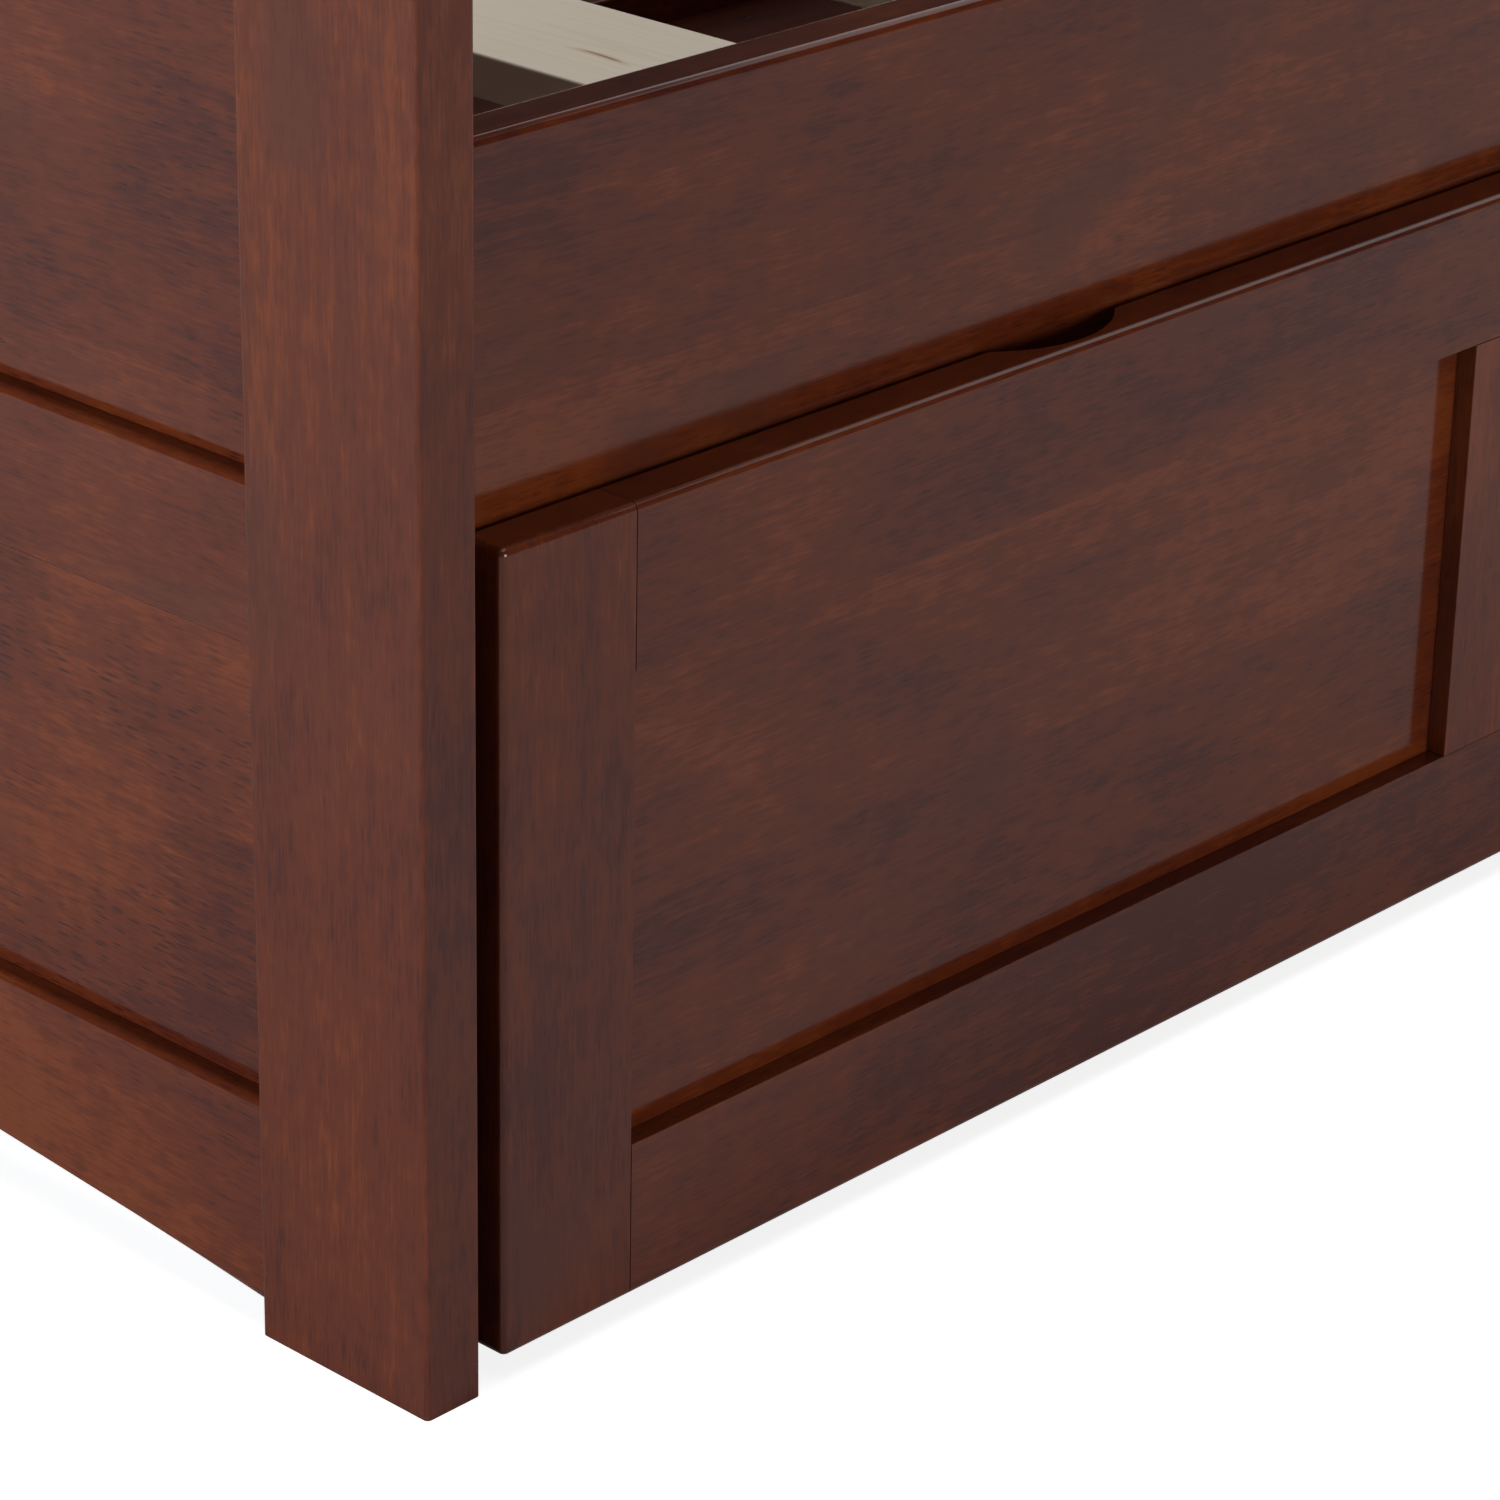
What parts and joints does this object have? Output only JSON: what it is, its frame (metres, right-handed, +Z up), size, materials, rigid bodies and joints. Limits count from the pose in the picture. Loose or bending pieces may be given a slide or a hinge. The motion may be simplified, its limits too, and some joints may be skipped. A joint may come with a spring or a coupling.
{
  "type": "trundle bed",
  "caption": "Twin wooden bed with panelled head and foot boards, a slatted base and a panel-fronted trundle that rolls out on casters from under the side rail.",
  "frame": {"origin": "On the floor, under the middle of the bed, with the trundle closed", "axes": "+X towards the headboard, +Y towards the back of the bed, +Z up; the trundle rolls out towards -Y"},
  "size_m": [1.984, 1.0986, 1.06],
  "materials": {
    "stained_wood": "semi-gloss reddish brown stain and lacquer over open-pored hardwood",
    "pine": "unfinished sanded pine",
    "plywood": "dark stained plywood, thin coat",
    "caster_steel": "zinc-plated pressed steel",
    "caster_wheel": "black moulded nylon with a slightly worn tread"
  },
  "bodies": {
    "bed_frame": {"footboard_post_front": "stained_wood", "footboard_post_back": "stained_wood", "footboard_top_rail": "stained_wood", "footboard_mid_rail": "stained_wood", "footboard_bottom_rail": "stained_wood", "footboard_upper_panel": "stained_wood", "footboard_lower_panel": "stained_wood", "headboard_post_front": "stained_wood", "headboard_post_back": "stained_wood", "headboard_top_rail": "stained_wood", "headboard_mid_rail": "stained_wood", "headboard_bottom_rail": "stained_wood", "headboard_upper_panel": "stained_wood", "headboard_lower_panel": "stained_wood", "side_rail_front": "stained_wood", "side_rail_back": "stained_wood", "slat_ledger_front": "pine", "slat_ledger_back": "pine", "slat_01": "pine", "slat_02": "pine", "slat_03": "pine", "slat_04": "pine", "slat_05": "pine", "slat_06": "pine", "slat_07": "pine", "slat_08": "pine"},
    "trundle": {"trundle_front_stile_1": "stained_wood", "trundle_front_stile_2": "stained_wood", "trundle_front_stile_3": "stained_wood", "trundle_front_stile_4": "stained_wood", "trundle_front_top_rail": "stained_wood", "trundle_front_bottom_rail": "stained_wood", "trundle_front_panel_1": "stained_wood", "trundle_front_panel_2": "stained_wood", "trundle_front_panel_3": "stained_wood", "trundle_back_rail": "stained_wood", "trundle_end_rail_left": "pine", "trundle_end_rail_right": "pine", "trundle_ledger_front": "pine", "trundle_ledger_back": "pine", "trundle_cross_member": "pine", "trundle_deck_left": "plywood", "trundle_deck_right": "plywood", "caster_front_left_bracket": "caster_steel", "caster_front_left_axle": "caster_steel", "caster_back_left_bracket": "caster_steel", "caster_back_left_axle": "caster_steel", "caster_front_right_bracket": "caster_steel", "caster_front_right_axle": "caster_steel", "caster_back_right_bracket": "caster_steel", "caster_back_right_axle": "caster_steel"},
    "wheel_front_left": {"caster_front_left_wheel": "caster_wheel"},
    "wheel_back_left": {"caster_back_left_wheel": "caster_wheel"},
    "wheel_front_right": {"caster_front_right_wheel": "caster_wheel"},
    "wheel_back_right": {"caster_back_right_wheel": "caster_wheel"}
  },
  "joints": [
    {"name": "trundle_slide", "type": "slide", "parent": "bed_frame", "child": "trundle", "axis": [0, -1, 0], "range_m": [0, 1.02]},
    {"name": "wheel_front_left_roll", "type": "hinge", "parent": "trundle", "child": "wheel_front_left", "pos_m": [-0.83685, -0.4945, 0.025], "axis": [1, 0, 0], "continuous": true},
    {"name": "wheel_back_left_roll", "type": "hinge", "parent": "trundle", "child": "wheel_back_left", "pos_m": [-0.83685, 0.4435, 0.025], "axis": [1, 0, 0], "continuous": true},
    {"name": "wheel_front_right_roll", "type": "hinge", "parent": "trundle", "child": "wheel_front_right", "pos_m": [0.83685, -0.4945, 0.025], "axis": [1, 0, 0], "continuous": true},
    {"name": "wheel_back_right_roll", "type": "hinge", "parent": "trundle", "child": "wheel_back_right", "pos_m": [0.83685, 0.4435, 0.025], "axis": [1, 0, 0], "continuous": true}
  ],
  "couplings": [
    {"joint": "wheel_front_left_roll", "follows": "trundle_slide", "rad_per_m": 40},
    {"joint": "wheel_back_left_roll", "follows": "trundle_slide", "rad_per_m": 40},
    {"joint": "wheel_front_right_roll", "follows": "trundle_slide", "rad_per_m": 40},
    {"joint": "wheel_back_right_roll", "follows": "trundle_slide", "rad_per_m": 40}
  ]
}
